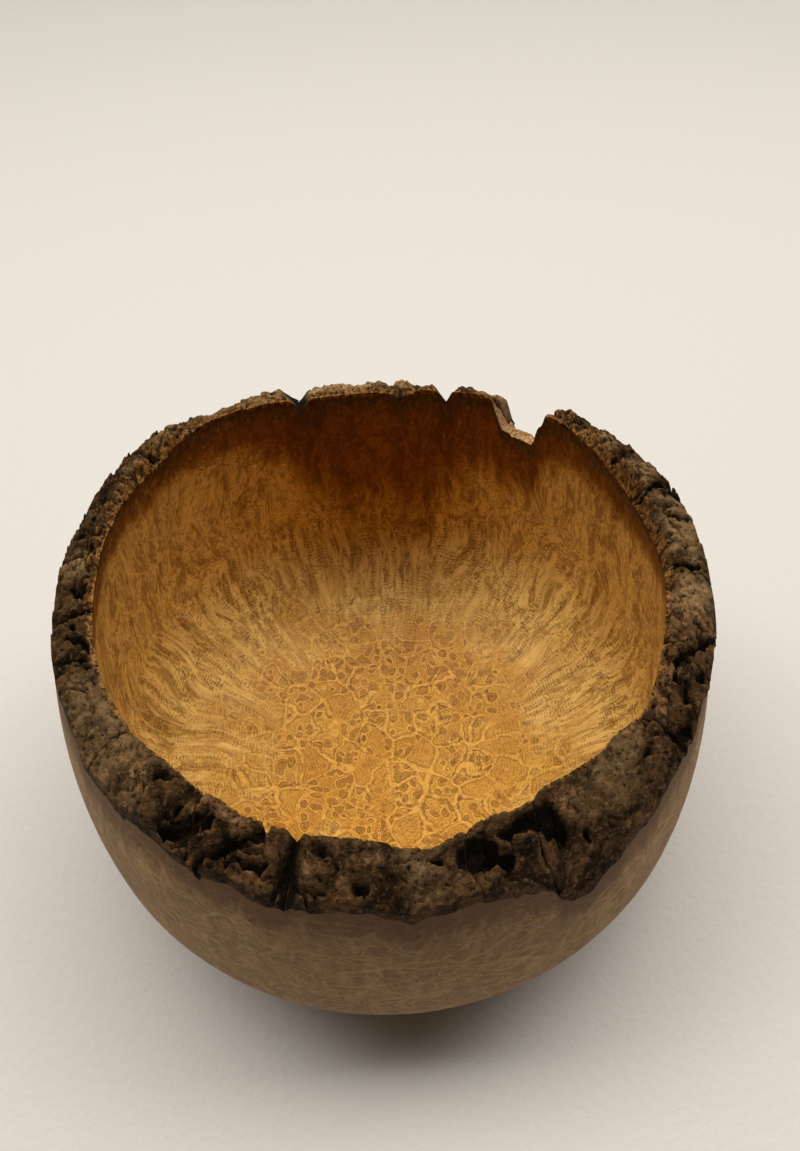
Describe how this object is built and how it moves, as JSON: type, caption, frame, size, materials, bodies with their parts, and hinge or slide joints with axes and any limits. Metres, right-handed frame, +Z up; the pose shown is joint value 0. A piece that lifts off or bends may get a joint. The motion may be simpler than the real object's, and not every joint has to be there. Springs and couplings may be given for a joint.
{
  "type": "natural edge wooden bowl",
  "caption": "Round-bellied turned burl bowl on a flat foot, with its natural edge left as a lobed, fissured and notched rim of bark plates.",
  "frame": {"origin": "centre of the flat foot, at the bottom of the bounding box", "axes": "+Z up along the turning axis, -Y towards the side that is seen in front, +X to that side's right"},
  "size_m": [0.167, 0.167, 0.1126],
  "materials": {
    "burl_wood": "bud burl, turned, sanded fine and oiled to a soft sheen",
    "burl_bark": "weathered natural bark, rough and dry, unfinished"
  },
  "bodies": {
    "root": {"bowl_body": "burl_wood", "bark_front": "burl_bark", "bark_front_gully": "burl_bark", "bark_front_right": "burl_bark", "bark_right_low": "burl_bark", "bark_right": "burl_bark", "bark_right_high": "burl_bark", "bark_right_knob": "burl_bark", "bark_back_right": "burl_bark", "bark_back_broken": "burl_bark", "bark_back_lobe": "burl_bark", "bark_back_bud": "burl_bark", "bark_back": "burl_bark", "bark_back_left": "burl_bark", "bark_left_high": "burl_bark", "bark_left": "burl_bark", "bark_left_low": "burl_bark", "bark_front_left": "burl_bark", "bark_front_spur": "burl_bark"}
  },
  "joints": []
}
